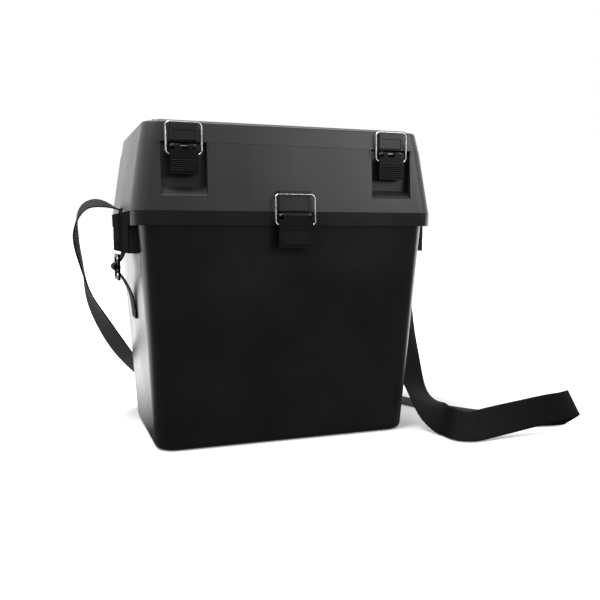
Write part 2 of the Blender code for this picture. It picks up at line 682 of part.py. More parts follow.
def make_slider(side, sign):
    """A three-bar slider that the free end threads through, so that it can't pull up into the lug. Its
    middle bar is round."""
    x, z, thick, bar_r = 0.2010, 0.2230, 0.0015, 0.0035
    half = (0.0245, 0.0167)     # half width and half height
    slider = block(f"slider_{side}", (sign * x - thick, -half[0], z - half[1]),
                   (sign * x + thick, half[0], z + half[1]), helper=False)
    open_half = (half[0] - 0.0035, half[1] - 0.0041)
    slot = block(f"{side} slider window", (sign * x - 0.01, -open_half[0], z - open_half[1]),
                 (sign * x + 0.01, open_half[0], z + open_half[1]))
    join(slider, slot, "DIFFERENCE")
    bar_half = open_half[0] + 0.001
    bar = rod(f"{side} slider bar", -bar_half, bar_half, -sign * (x + 0.0012), z, bar_r)
    for v in bar.data.vertices:
        v.co = (-v.co.y, v.co.x, v.co.z)
    join(slider, bar, "UNION")
    set_origin(slider, (sign * x, 0, z))
    finish(slider, LEVER)


LID_HINGE = axle_empty("lid axis", (0, *LID_AXIS))
CAP_HINGE = axle_empty("cap axis", (0, *CAP_AXIS), LID_HINGE)
make_tub()
make_lid()
make_cap()
hinge_pins("lid", LID_HINGE_X, LID_AXIS)
hinge_pins("cap", CAP_HINGE_X, CAP_AXIS)
make_bail(CENTRE_LATCH, make_lever(CENTRE_LATCH, None))
for small in SMALL_LATCHES:
    make_bail(small, make_lever(small, LID_HINGE))
make_inner_tray()
make_dividers()
make_strap()
for strap_side, strap_sign in (("left", -1), ("right", 1)):
    make_strap_end(strap_side, strap_sign)
    make_slider(strap_side, strap_sign)
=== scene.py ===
"""The looks of a moulded fishing seat box: a black tub, a charcoal tackle lid and seat cap, three wire-bail
latches and a webbing shoulder strap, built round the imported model.

Metres, +Z up, front towards -Y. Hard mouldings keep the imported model's shapes and get rounded edges; the
webbing, wires, pins and grips are surfaces worked out here from two parameters.
"""
import json
from math import radians

import bmesh
import bpy
import numpy as np
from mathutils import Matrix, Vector

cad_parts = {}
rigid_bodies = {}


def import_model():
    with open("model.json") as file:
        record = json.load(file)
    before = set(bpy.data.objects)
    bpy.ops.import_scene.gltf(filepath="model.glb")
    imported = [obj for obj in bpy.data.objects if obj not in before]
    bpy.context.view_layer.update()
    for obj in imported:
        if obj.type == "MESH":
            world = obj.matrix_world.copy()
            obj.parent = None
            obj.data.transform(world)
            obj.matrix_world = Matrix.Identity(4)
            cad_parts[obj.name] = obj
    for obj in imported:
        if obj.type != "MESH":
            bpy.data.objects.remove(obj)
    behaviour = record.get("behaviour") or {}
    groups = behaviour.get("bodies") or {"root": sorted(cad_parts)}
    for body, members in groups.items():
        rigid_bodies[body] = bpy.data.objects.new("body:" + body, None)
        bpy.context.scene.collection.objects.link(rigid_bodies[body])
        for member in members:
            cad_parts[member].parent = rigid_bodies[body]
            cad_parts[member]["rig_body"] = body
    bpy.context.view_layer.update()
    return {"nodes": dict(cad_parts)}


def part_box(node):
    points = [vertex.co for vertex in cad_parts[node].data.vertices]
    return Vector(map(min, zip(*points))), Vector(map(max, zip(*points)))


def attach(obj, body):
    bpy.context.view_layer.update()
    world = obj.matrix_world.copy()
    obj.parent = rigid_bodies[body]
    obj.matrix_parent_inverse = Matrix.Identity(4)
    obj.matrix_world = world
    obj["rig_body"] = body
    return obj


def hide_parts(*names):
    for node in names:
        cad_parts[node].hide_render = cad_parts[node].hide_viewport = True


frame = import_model()

# ---- driving values ----
CAMERA_AT = (-0.2952, -0.9724, 0.2670)
CAMERA_TURN = (84.72, 0.0, -19.63)       # degrees
CAMERA_LENS = 43.64                      # mm on a 36 mm sensor

STRAP_HALF = 0.020                       # 40 mm webbing
STRAP_THICK = 0.0018
GROUND_CLEAR = 0.0014
STRAP_STEP = 0.00125                     # one station of the webbing's surface
SCALLOP = 0.0050                         # the weft's turns along the selvedge
SCALLOP_DEPTH = 0.00045
FOLD = (0.3896, -0.172, 0.0337)          # where the strap turns back on itself
FOLD_REACH = (0.012, 0.050)              # cross lines are FOLD_LINE this near it, and square this far off
FOLD_LINE = (-0.491, 0.085, 0.910)
SETTLING_PASSES = 3                      # lifting the webbing clear of the floor turns it a little each time
EDGE_POINTS = 5                          # points round one selvedge of the webbing's section
FLAT_POINTS = 10                         # and across one of its flat sides

WARP_PITCH = 0.0017                      # the weave, along and across the webbing
WEFT_PITCH = 0.0025

MERGE_WITHIN = 0.00002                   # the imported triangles' corners that are one corner
FLAT_WITHIN = 0.6                        # degrees between faces that are one flat face
ROUND_ABOVE = 32.0                       # degrees between faces whose edge is rounded
TUB_EDGE, LID_EDGE, CAP_EDGE = 0.0012, 0.0010, 0.0007
TRAY_EDGE, SLIDER_EDGE, LEVER_EDGE = 0.0005, 0.0007, 0.0004

WIRE_R = 0.0011
BAIL_BEND = 0.0055
BAIL_TIP_IN = 0.0028                     # how far a bail's foot runs into its lever's side
BAIL_FOOT_SPARE = 0.0006                 # the foot's bend is this much wider than the gap beside the lever
GRIP_PITCH, GRIP_DEPTH = 0.0024, 0.00055
GRIP_MARGIN = 0.0030                     # plain border of the lever beside and below its grip
GRIP_SUNK = 0.0004
GRIP_SHARE = 0.50                        # the grip's top, as a share of the lever's height
PIN_DOME = 0.0008

MATT_SPECULAR, MATT_IOR, MATT_ROUGH = 0.04, 1.06, 0.8
MATT_BLEND = (0.0008, 0.0010)            # width of the change from glossy to matt, in X and in Z
POLYOLEFIN_IOR = 1.49
WHITE = (1.0, 1.0, 1.0, 1.0)

FLOOR_HALF = 30.0
FLOOR_GLOW_IN_PAINTED_SHADE = 0.20                        # the floor's own glow near the box, kept low there as painted shade round the box, and 1.0 far from it
# the painted shade round the box fades out between these distances from its middle
PAINTED_SHADE_FADE_FROM, PAINTED_SHADE_FADE_TO = 0.45, 1.2
FLOOR_FRONT, FLOOR_BACK = 0.10, 2.4      # what the plastic picks up from the floor before and behind the box
FLOOR_BACK_Y = 0.35
FRONT_LIGHT, BACK_LIGHT, TOP_LIGHT = 0.10, 1.0, 0.9
DIFFUSE_SHARE = 0.38                     # how much of the surround's light falls on dull surfaces

# The strap's route: the middle of the webbing, then the direction of its width.
STRAP_ROUTE = [
    (-0.1910, 0.000, 0.2905, 0.00, 1.00, 0.00),
    (-0.1925, 0.000, 0.2938, 0.00, 1.00, 0.00),
    (-0.1975, 0.000, 0.2968, 0.00, 1.00, 0.05),
    (-0.2090, 0.000, 0.3018, 0.07, 0.99, 0.15),
    (-0.2243, 0.000, 0.3050, 0.03, 0.96, 0.27),
    (-0.2388, 0.001, 0.3010, -0.05, 0.97, 0.20),
    (-0.2485, 0.003, 0.2875, 0.04, 0.99, 0.16),
    (-0.2517, 0.008, 0.2664, 0.18, 0.95, 0.24),
    (-0.2480, 0.016, 0.2411, 0.12, 0.93, 0.34),
    (-0.2420, 0.026, 0.2164, 0.00, 0.91, 0.42),
    (-0.2362, 0.038, 0.1936, -0.20, 0.86, 0.46),
    (-0.2266, 0.056, 0.1677, -0.48, 0.78, 0.36),
    (-0.2112, 0.080, 0.1364, -0.65, 0.73, 0.21),
    (-0.1900, 0.108, 0.1004, -0.70, 0.70, 0.10),
    (-0.1696, 0.130, 0.0713, -0.67, 0.73, 0.12),
    (-0.1450, 0.150, 0.0440, -0.60, 0.78, 0.14),
    (-0.1100, 0.166, 0.0210, -0.40, 0.90, 0.10),
    (-0.0650, 0.173, 0.0070, -0.15, 0.99, 0.00),
    (-0.0100, 0.175, 0.0026, 0.00, 1.00, 0.00),
    (0.0500, 0.172, 0.0022, 0.10, 1.00, 0.00),
    (0.1100, 0.160, 0.0022, 0.30, 0.95, 0.00),
    (0.1650, 0.134, 0.0022, 0.55, 0.83, 0.00),
    (0.2100, 0.094, 0.0022, 0.76, 0.65, 0.00),
    (0.2400, 0.045, 0.0022, 0.90, 0.43, 0.00),
    (0.2600, -0.004, 0.0022, 0.90, 0.43, 0.00),
    (0.2830, -0.045, 0.0024, 0.78, 0.62, 0.02),
    (0.3100, -0.095, 0.0040, 0.55, 0.82, 0.12),
    (0.3380, -0.136, 0.0090, 0.05, 0.90, 0.40),
    (0.3600, -0.156, 0.0142, -0.45, 0.62, 0.64),
    (0.3790, -0.1635, 0.0235, -0.66, 0.25, 0.70),
    (0.3896, -0.172, 0.0337, -0.54, 0.10, 0.84),
    (0.3740, -0.1805, 0.0350, -0.28, 0.04, 0.96),
    (0.3398, -0.184, 0.0328, -0.22, 0.08, 0.97),
    (0.3079, -0.184, 0.0291, -0.17, 0.18, 0.96),
    (0.2706, -0.184, 0.0247, -0.12, 0.30, 0.94),
    (0.2420, -0.184, 0.0212, -0.09, 0.42, 0.90),
    (0.2200, -0.183, 0.0188, 0.00, 0.48, 0.87),
    (0.2062, -0.174, 0.0188, 0.14, 0.52, 0.84),
    (0.2015, -0.154, 0.0190, 0.22, 0.62, 0.75),
    (0.1998, -0.128, 0.0250, 0.36, 0.70, 0.60),
    (0.1990, -0.101, 0.0345, 0.58, 0.76, 0.28),
    (0.1994, -0.074, 0.0480, 0.88, 0.40, 0.00),
    (0.2000, -0.052, 0.0750, 0.98, 0.05, -0.05),
    (0.2060, -0.034, 0.1150, 0.90, 0.40, 0.00),
    (0.2150, -0.019, 0.1650, 0.65, 0.75, 0.00),
    (0.2220, -0.008, 0.2150, 0.35, 0.93, 0.00),
    (0.2225, -0.002, 0.2600, 0.10, 1.00, 0.00),
    (0.2160, 0.000, 0.2870, 0.00, 1.00, 0.00),
    (0.2070, 0.000, 0.2970, 0.00, 1.00, 0.00),
    (0.1975, 0.000, 0.2968, 0.00, 1.00, 0.00),
    (0.1925, 0.000, 0.2938, 0.00, 1.00, 0.00),
    (0.1910, 0.000, 0.2905, 0.00, 1.00, 0.00),
]
TAIL_ROUTE = [
    (0.1910, 0.2900), (0.1910, 0.2780), (0.1911, 0.2650), (0.1913, 0.2510), (0.1920, 0.2450),
    (0.1935, 0.2405), (0.1956, 0.2358), (0.1980, 0.2320), (0.2012, 0.2292), (0.2046, 0.2268),
    (0.2064, 0.2252), (0.2070, 0.2230), (0.2064, 0.2208), (0.2046, 0.2192), (0.2012, 0.2168),
    (0.1978, 0.2132), (0.1950, 0.2090), (0.1918, 0.2035), (0.1878, 0.1955), (0.1844, 0.1870),
    (0.1823, 0.1770), (0.1809, 0.1660), (0.1800, 0.1560),
]


# ---- nodes and colours ----
def linear(code):
    """An sRGB hex colour as linear RGBA: c/12.92 below 0.04045, ((c + 0.055)/1.055)^2.4 above."""
    parts = np.array([int(code[k:k + 2], 16) for k in (1, 3, 5)]) / 255
    bright = ((parts + 0.055) / 1.055) ** 2.4
    return (*np.where(parts <= 0.04045, parts / 12.92, bright).tolist(), 1.0)


def add(tree, kind, sockets=None, stops=(), **settings):
    """Adds one node: settings are its properties, sockets are values or the outputs that feed it, and stops
    are a colour ramp's positions and colours."""
    node = tree.nodes.new(kind)
    for key, value in settings.items():
        setattr(node, key, value)
    for key, value in (sockets or {}).items():
        if isinstance(value, bpy.types.NodeSocket):
            tree.links.new(value, node.inputs[key])
        else:
            node.inputs[key].default_value = value
    if stops:
        elements = node.color_ramp.elements
        for element, (position, code) in zip((elements[0], elements[1]), (stops[0], stops[-1])):
            element.position, element.color = position, linear(code)
        for position, code in stops[1:-1]:
            elements.new(position).color = linear(code)
    return node


def start(name, **sockets):
    """A new material and its Principled shader, with the constant sockets set on the shader itself."""
    made = bpy.data.materials.new(name)
    made.use_nodes = True
    shader = made.node_tree.nodes["Principled BSDF"]
    for key, value in sockets.items():
        shader.inputs[key.replace("_", " ")].default_value = value
    return made, made.node_tree, shader


def matt_sides(tree, at, shader, gloss, specular, matt_from):
    """Dulls the sheen where |X| and Z are past matt_from, and returns the roughness to use."""
    aside_from, above_from = matt_from
    parts = add(tree, "ShaderNodeSeparateXYZ", {0: at})
    out = add(tree, "ShaderNodeMath", {0: parts.outputs["X"]}, operation="ABSOLUTE")
    aside = add(tree, "ShaderNodeMapRange", {"Value": out.outputs[0], "From Min": aside_from - MATT_BLEND[0],
                                             "From Max": aside_from})
    above = add(tree, "ShaderNodeMapRange", {"Value": parts.outputs["Z"],
                                             "From Min": above_from - MATT_BLEND[1], "From Max": above_from})
    both = add(tree, "ShaderNodeMath", {0: aside.outputs[0], 1: above.outputs[0]}, operation="MULTIPLY")
    where = both.outputs[0]
    dull = add(tree, "ShaderNodeMapRange", {"Value": where, "To Min": specular, "To Max": MATT_SPECULAR})
    tree.links.new(dull.outputs[0], shader.inputs["Specular IOR Level"])
    bent = add(tree, "ShaderNodeMapRange", {"Value": where, "To Min": POLYOLEFIN_IOR, "To Max": MATT_IOR})
    tree.links.new(bent.outputs[0], shader.inputs["IOR"])
    mixed = add(tree, "ShaderNodeMix", {"Factor": where, "A": gloss, "B": MATT_ROUGH}, data_type="FLOAT")
    return mixed.outputs[0]


def moulded(name, deep, plain, rough, grain_mm, grain_height, flow=0.0, specular=0.5, matt_from=None):
    """Injection-moulded polyolefin from a spark-eroded mould: the grain breaks up the highlight, the colour
    varies a little where the melt flowed, and handling leaves slightly shinier patches. The real grain is
    about 0.3 mm, and it is drawn as coarse as grain_mm so that it shows. Outside matt_from in X and above it
    in Z the mould is blasted matt."""
    made, tree, shader = start(name, Metallic=0.0, IOR=POLYOLEFIN_IOR, Specular_IOR_Level=specular)
    at = add(tree, "ShaderNodeTexCoord").outputs["Object"]
    cloud = add(tree, "ShaderNodeTexNoise", {"Vector": at, "Scale": 9.0, "Detail": 3.0, "Roughness": 0.55})
    streak_at = add(tree, "ShaderNodeMapping", {"Vector": at, "Scale": (26.0, 26.0, 1.6)})
    streak = add(tree, "ShaderNodeTexNoise", {"Vector": streak_at.outputs[0], "Scale": 1.0, "Detail": 2.0})
    mixed = add(tree, "ShaderNodeMix", {"Factor": flow, "A": cloud.outputs[0], "B": streak.outputs[0]},
                data_type="FLOAT")
    colour = add(tree, "ShaderNodeValToRGB", {"Fac": mixed.outputs[0]}, stops=[(0.32, deep), (0.68, plain)])
    tree.links.new(colour.outputs["Color"], shader.inputs["Base Color"])
    gloss = add(tree, "ShaderNodeMapRange", {"Value": cloud.outputs[0], "From Min": 0.3, "From Max": 0.7,
                                             "To Min": rough - 0.05, "To Max": rough + 0.05})
    finish_rough = gloss.outputs[0]
    if matt_from:
        finish_rough = matt_sides(tree, at, shader, gloss.outputs[0], specular, matt_from)
    tree.links.new(finish_rough, shader.inputs["Roughness"])
    grain = add(tree, "ShaderNodeTexNoise", {"Vector": at, "Scale": 1000 / grain_mm, "Detail": 2.0})
    bump = add(tree, "ShaderNodeBump", {"Height": grain.outputs[0], "Strength": 0.5,
                                        "Distance": grain_height / 1000})
    tree.links.new(bump.outputs[0], shader.inputs["Normal"])
    return made


def drawn_steel(name, plain, rough):
    """Drawn and bright-plated steel wire: a mirror-like metal whose colour and roughness vary with a fine
    noise.
    """
    made, tree, shader = start(name, Metallic=1.0)
    at = add(tree, "ShaderNodeTexCoord").outputs["Object"]
    lines = add(tree, "ShaderNodeTexNoise", {"Vector": at, "Scale": 900.0, "Detail": 1.0})
    colour = add(tree, "ShaderNodeValToRGB", {"Fac": lines.outputs[0]},
                 stops=[(0.35, "#9a9a9c"), (0.65, plain)])
    tree.links.new(colour.outputs["Color"], shader.inputs["Base Color"])
    gloss = add(tree, "ShaderNodeMapRange", {"Value": lines.outputs[0], "To Min": rough - 0.06,
                                             "To Max": rough + 0.10})
    tree.links.new(gloss.outputs[0], shader.inputs["Roughness"])
    return made


def woven_webbing(name):
    """Polypropylene webbing in a ribbed weave. Warp ribs run along it a WARP_PITCH apart, and the weft
    crosses them every WEFT_PITCH, half a step later on every other rib: the height is
    |sin(pi rib)| |sin(pi weft)|. It reads the UV map, whose unit is one metre."""
    made, tree, shader = start(name, Metallic=0.0, IOR=POLYOLEFIN_IOR, Specular_IOR_Level=0.15)
    uv = add(tree, "ShaderNodeUVMap", uv_map="webbing").outputs[0]
    parts = add(tree, "ShaderNodeSeparateXYZ", {"Vector": uv})
    rib = add(tree, "ShaderNodeMath", {0: parts.outputs["Y"], 1: 1 / WARP_PITCH}, operation="MULTIPLY")
    whole = add(tree, "ShaderNodeMath", {0: rib.outputs[0]}, operation="FLOOR")
    odd = add(tree, "ShaderNodeMath", {0: whole.outputs[0], 1: 2.0}, operation="FLOORED_MODULO")
    shift = add(tree, "ShaderNodeMath", {0: odd.outputs[0], 1: 0.5}, operation="MULTIPLY")
    weft = add(tree, "ShaderNodeMath", {0: parts.outputs["X"], 1: 1 / WEFT_PITCH, 2: shift.outputs[0]},
               operation="MULTIPLY_ADD")
    crowns = []
    for count in (rib, weft):
        angle = add(tree, "ShaderNodeMath", {0: count.outputs[0], 1: np.pi}, operation="MULTIPLY")
        wave = add(tree, "ShaderNodeMath", {0: angle.outputs[0]}, operation="SINE")
        crowns.append(add(tree, "ShaderNodeMath", {0: wave.outputs[0]}, operation="ABSOLUTE").outputs[0])
    height = add(tree, "ShaderNodeMath", {0: crowns[0], 1: crowns[1]}, operation="MULTIPLY").outputs[0]
    fuzz = add(tree, "ShaderNodeTexNoise", {"Vector": uv, "Scale": 2600.0, "Detail": 2.0})
    fuzzy = add(tree, "ShaderNodeMath", {0: fuzz.outputs[0], 1: 0.25, 2: height}, operation="MULTIPLY_ADD")
    # The colour is darkest in the weave's valleys and lightest on its crowns: painted shade of the weave.
    colour = add(tree, "ShaderNodeValToRGB", {"Fac": height},
                 stops=[(0.0, "#030303"), (0.45, "#090909"), (1.0, "#131314")])
    tree.links.new(colour.outputs["Color"], shader.inputs["Base Color"])
    gloss = add(tree, "ShaderNodeMapRange", {"Value": height, "To Min": 0.85, "To Max": 0.55})
    tree.links.new(gloss.outputs[0], shader.inputs["Roughness"])
    bump = add(tree, "ShaderNodeBump", {"Height": fuzzy.outputs[0], "Strength": 0.8, "Distance": 0.0005})
    tree.links.new(bump.outputs[0], shader.inputs["Normal"])
    return made


TUB_PLASTIC = moulded("black moulded polypropylene", "#131314", "#1b1b1c", 0.30, 1.1, 0.05,
                      matt_from=(0.1962, 0.22))
LID_PLASTIC = moulded("charcoal moulded polypropylene", "#29292a", "#333334", 0.36, 1.1, 0.05, flow=0.55)
CAP_PLASTIC = moulded("charcoal seat polypropylene", "#1a1a1b", "#232324", 0.34, 1.1, 0.05, flow=0.4)
TRAY_PLASTIC = moulded("dark grey tray polypropylene", "#232324", "#2c2c2e", 0.50, 1.3, 0.04)
NYLON = moulded("black moulded nylon", "#040404", "#080808", 0.45, 0.8, 0.03, specular=0.2)
WIRE_STEEL = drawn_steel("bright plated steel wire", "#dededf", 0.16)
PIN_STEEL = drawn_steel("plain drawn steel", "#b9b9ba", 0.26)
WEBBING = woven_webbing("black polypropylene webbing")


# ---- surfaces ----
def skin(name, grid, material, body, uv=None, smooth=55):
    """A closed surface over grid[station, turn] of points: each station is a closed ring, neighbouring rings
    are joined by quads, and each end is closed by one face."""
    stations, turns = grid.shape[:2]
    i, j = np.meshgrid(np.arange(stations - 1), np.arange(turns), indexing="ij")
    k = (j + 1) % turns
    quads = np.stack([i * turns + j, i * turns + k, (i + 1) * turns + k, (i + 1) * turns + j], -1)
    quads = quads.reshape(-1, 4)
    ends = [np.arange(turns)[::-1], (stations - 1) * turns + np.arange(turns)]
    flat = grid.reshape(-1, 3)
    middle = flat.mean(0)
    a, b, c, d = (flat[quads[:, n]] - middle for n in range(4))
    if (a * np.cross(b, c)).sum() + (a * np.cross(c, d)).sum() < 0:
        quads = quads[:, ::-1]
        ends = [end[::-1] for end in ends]
    mesh = bpy.data.meshes.new(name)
    mesh.from_pydata(flat.tolist(), [], [*quads.tolist(), *(end.tolist() for end in ends)])
    mesh.shade_smooth()
    mesh.set_sharp_from_angle(angle=radians(smooth))
    if uv is not None:
        layer = mesh.uv_layers.new(name="webbing")
        corner = np.zeros(len(mesh.loops), np.int32)
        mesh.loops.foreach_get("vertex_index", corner)
        layer.data.foreach_set("uv", uv.reshape(-1, 2)[corner].astype(np.float32).ravel())
    mesh.materials.append(material)
    made = bpy.data.objects.new(name, mesh)
    bpy.context.scene.collection.objects.link(made)
    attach(made, body)
    return made


def smooth_line(points, steps):
    """A natural cubic spline through the rows of points, on knots a square root of a chord apart."""
    points = np.array(points, float)
    knots = np.r_[0, np.cumsum(np.linalg.norm(np.diff(points[:, :3], axis=0), axis=1) ** 0.5)]
    gap = np.diff(knots)
    inner = np.arange(1, len(points) - 1)
    system = np.eye(len(points))
    system[inner, inner - 1] = gap[:-1]
    system[inner, inner] = 2 * (gap[:-1] + gap[1:])
    system[inner, inner + 1] = gap[1:]
    slope = np.diff(points, axis=0) / gap[:, None]
    right = np.zeros_like(points)
    right[1:-1] = 6 * np.diff(slope, axis=0)
    curving = np.linalg.solve(system, right)
    at = np.linspace(0, knots[-1], steps)
    i = np.clip(np.searchsorted(knots, at, side="right") - 1, 0, len(points) - 2)
    a = ((knots[i + 1] - at) / gap[i])[:, None]
    b = 1 - a
    bulge = ((a ** 3 - a) * curving[i] + (b ** 3 - b) * curving[i + 1]) * gap[i][:, None] ** 2 / 6
    return a * points[i] + b * points[i + 1] + bulge


def evenly(rows, step):
    """The rows of a line, read again at equal lengths of about step along its first three columns."""
    run = np.r_[0, np.cumsum(np.linalg.norm(np.diff(rows[:, :3], axis=0), axis=1))]
    at = np.linspace(0, run[-1], int(round(run[-1] / step)) + 1)
    return np.stack([np.interp(at, run, column) for column in rows.T], 1), at


def squared(centre, across):
    """The width directions turned square to the centre line, the line's own directions, and the rulings,
    which are the width directions but turn parallel to FOLD_LINE near FOLD."""
    along = np.gradient(centre, axis=0)
    along /= np.linalg.norm(along, axis=1)[:, None]
    across = across - along * (across * along).sum(1)[:, None]
    across /= np.linalg.norm(across, axis=1)[:, None]
    near = np.interp(np.linalg.norm(centre - FOLD, axis=1), FOLD_REACH, (1.0, 0.0))[:, None]
    return across, along, across * (1 - near) + np.array(FOLD_LINE) * near


def webbing(name, rows, body):
    """Flat webbing. At length s and turn t its surface is centre(s) + ruling(s) * w + out(s) * h, where
    (w, h) goes round a 40 by 1.8 mm section with round selvedges, and the selvedge draws in by
    SCALLOP_DEPTH * |sin(pi s / SCALLOP)|. Returns the piece and its centre line."""
    rows, run = evenly(rows, STRAP_STEP)
    centre, across = rows[:, :3], rows[:, 3:]
    for _ in range(SETTLING_PASSES):
        ruling = squared(centre, across)[2]
        centre[:, 2] = np.maximum(centre[:, 2], STRAP_HALF * abs(ruling[:, 2]) + GROUND_CLEAR)
    across, along, ruling = squared(centre, across)
    out = np.cross(along, across)
    round_r = STRAP_THICK / 2
    turn = np.linspace(-np.pi / 2, np.pi / 2, EDGE_POINTS)
    reach = STRAP_HALF - round_r
    top = np.linspace(reach, -reach, FLAT_POINTS + 2)[1:-1]
    flat = np.full(FLAT_POINTS, round_r)
    wide = np.r_[reach + round_r * np.cos(turn), top, -reach - round_r * np.cos(turn), top[::-1]]
    high = np.r_[round_r * np.sin(turn), flat, round_r * np.sin(-turn), -flat]
    drawn = SCALLOP_DEPTH * abs(np.sin(np.pi * run / SCALLOP))
    wide = wide[None, :] * (1 - drawn[:, None] / STRAP_HALF)
    grid = centre[:, None] + ruling[:, None] * wide[..., None] + out[:, None] * high[None, :, None]
    uv = np.stack(np.broadcast_arrays(run[:, None], wide + STRAP_HALF), -1)
    return skin(name, grid, WEBBING, body, uv, smooth=80), centre


def tube(name, path, radius, material, body, sides=16):
    """A wire with domed ends: a circle of the given radius square to the path, shrinking to
    radius * sqrt(1 - u^2) over the last radius of length."""
    path, run = evenly(path, radius * 0.35)
    left = np.minimum(run, run[-1] - run) / radius
    size = radius * np.sqrt(np.clip(1 - (1 - np.clip(left, 0.02, 1)) ** 2, 0, 1))
    along = np.gradient(path, axis=0)
    along /= np.linalg.norm(along, axis=1)[:, None]
    side = np.cross(along, (0.0, 1.0, 0.0))
    side /= np.linalg.norm(side, axis=1)[:, None]
    up = np.cross(side, along)
    turn = np.linspace(0, 2 * np.pi, sides, endpoint=False)
    ring = side[:, None] * np.cos(turn)[None, :, None] + up[:, None] * np.sin(turn)[None, :, None]
    return skin(name, path[:, None] + ring * size[:, None, None], material, body)


def filleted(points, radii, steps=8):
    """A bent wire's centre line: straight runs with a quarter-turn arc, centre + start cos + end sin, at
    each inner corner."""
    points = np.array(points, float)
    line = [points[:1]]
    quarter = np.linspace(0, np.pi / 2, steps + 1)[:, None]
    for before, corner, after, radius in zip(points, points[1:], points[2:], radii):
        back = (before - corner) / np.linalg.norm(before - corner) * radius
        ahead = (after - corner) / np.linalg.norm(after - corner) * radius
        line.append(corner + back + ahead - ahead * np.cos(quarter) - back * np.sin(quarter))
    line.append(points[-1:])
    return np.concatenate(line)


# ---- hard mouldings ----
def rounded_moulding(node, material, edge, name, segments=3):
    """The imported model's moulding with its edges rounded: its loose triangles are merged, flat areas are made
    whole again, and every edge sharper than ROUND_ABOVE is rounded off."""
    source = frame["nodes"][node]
    bm = bmesh.new()
    bm.from_mesh(source.data)
    bmesh.ops.remove_doubles(bm, verts=bm.verts, dist=MERGE_WITHIN)
    bmesh.ops.dissolve_limit(bm, angle_limit=radians(FLAT_WITHIN), verts=bm.verts, edges=bm.edges)
    for face in bm.faces:
        face.smooth = True
    mesh = bpy.data.meshes.new(name)
    bm.to_mesh(mesh)
    bm.free()
    mesh.materials.append(material)
    made = bpy.data.objects.new(name, mesh)
    bpy.context.scene.collection.objects.link(made)
    soften = made.modifiers.new("rounded edges", "BEVEL")
    soften.width = edge
    soften.segments = segments
    soften.limit_method = "ANGLE"
    soften.angle_limit = radians(ROUND_ABOVE)
    soften.miter_outer = "MITER_ARC"
    level = made.modifiers.new("flat faces stay flat", "WEIGHTED_NORMAL")
    level.keep_sharp = False
    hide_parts(node)
    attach(made, source["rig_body"])
    return made


# ---- camera ----
def place_camera():
    data = bpy.data.cameras.new("camera")
    data.lens = CAMERA_LENS
    data.sensor_width = 36.0
    made = bpy.data.objects.new("camera", data)
    made.location = CAMERA_AT
    made.rotation_euler = [radians(a) for a in CAMERA_TURN]
    bpy.context.scene.collection.objects.link(made)
    bpy.context.scene.camera = made


# ---- strap ----
def make_strap():
    """The shoulder strap outside its slots, and its two ends that hang below them through the sliders."""
    strap, centre = webbing("strap_webbing", smooth_line(STRAP_ROUTE, 2600), "tub")
    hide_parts("strap")
    others = []
    for side, sign in (("left", -1), ("right", 1)):
        route = [(sign * x, 0.0, z, 0.0, 1.0, 0.0) for x, z in TAIL_ROUTE]
        end, _ = webbing(f"strap_end_webbing_{side}", smooth_line(route, 500), "tub")
        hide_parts(f"strap_end_{side}")
        slider = rounded_moulding(f"slider_{side}", NYLON, SLIDER_EDGE, f"slider_moulding_{side}")
        others += [end, slider]


# ---- latches ----
def middle_of(low, high):
    return (low.x + high.x) / 2


def make_bail(name):
    """The wire loop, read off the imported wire's box: its ends turn in at the bottom and its bar is on top."""
    low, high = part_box(f"{name}_bail")
    lever_low, lever_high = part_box(f"{name}_lever")
    half, lever_half = (high.x - low.x) / 2 - WIRE_R, (lever_high.x - lever_low.x) / 2
    foot_y, bar_y, foot, bar = low.y + WIRE_R, high.y - WIRE_R, low.z + WIRE_R, high.z - WIRE_R
    tip, bend = lever_half - BAIL_TIP_IN, half - lever_half + BAIL_FOOT_SPARE
    corners = [(-tip, foot_y, foot), (-half, foot_y, foot), (-half, bar_y, bar), (half, bar_y, bar),
               (half, foot_y, foot), (tip, foot_y, foot)]
    path = filleted(corners, (bend, BAIL_BEND, BAIL_BEND, bend)) + (middle_of(low, high), 0, 0)
    made = tube(f"{name}_bail_wire", path, WIRE_R, WIRE_STEEL, f"{name}_bail")
    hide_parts(f"{name}_bail")


def make_grip(name):
    """The lever's finger grip: a pad that stands out of the lever's front by
    GRIP_DEPTH * sin(pi h / GRIP_PITCH)^2 at height h above its foot, with its back sunk in the lever."""
    low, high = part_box(f"{name}_lever")
    half = (high.x - low.x) / 2 - GRIP_MARGIN
    bottom, top = low.z + GRIP_MARGIN, low.z + (high.z - low.z) * GRIP_SHARE
    z = np.linspace(bottom, top, 121)
    wave = GRIP_DEPTH * np.sin(np.pi * (z - bottom) / GRIP_PITCH) ** 2
    corner = np.array([(-1, 1), (-1, 0), (1, 0), (1, 1)])
    x = middle_of(low, high) + half * corner[None, :, 0] + 0 * z[:, None]
    y = low.y + np.where(corner[None, :, 1] > 0, GRIP_SUNK, -wave[:, None])
    grid = np.stack([x, y, z[:, None] + 0 * x], -1)
    made = skin(f"{name}_lever_grip", grid, NYLON, f"{name}_lever", smooth=60)


def make_pin(node, material):
    """A turned pin along X with domed ends: its radius is r, and r * sqrt(1 - u^2) over the last PIN_DOME,
    where u runs from 0 to 1."""
    low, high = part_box(node)
    radius = (high.z - low.z) / 2
    dome = PIN_DOME * (1 - np.cos(np.linspace(0.2, np.pi / 2, 6)))
    x = np.r_[low.x + dome, np.linspace(low.x, high.x, 60)[3:-3], high.x - dome[::-1]]
    u = 1 - np.clip(np.minimum(x - low.x, high.x - x) / PIN_DOME, 0, 1)
    size = radius * np.sqrt(1 - u ** 2)
    turn = np.linspace(0, 2 * np.pi, 28, endpoint=False)
    y = (low.y + high.y) / 2 + size[:, None] * np.cos(turn)
    z = (low.z + high.z) / 2 + size[:, None] * np.sin(turn)
    grid = np.stack([x[:, None] + 0 * y, y, z], -1)
    made = skin(f"{node}_turned", grid, material, frame["nodes"][node]["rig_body"])
    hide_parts(node)


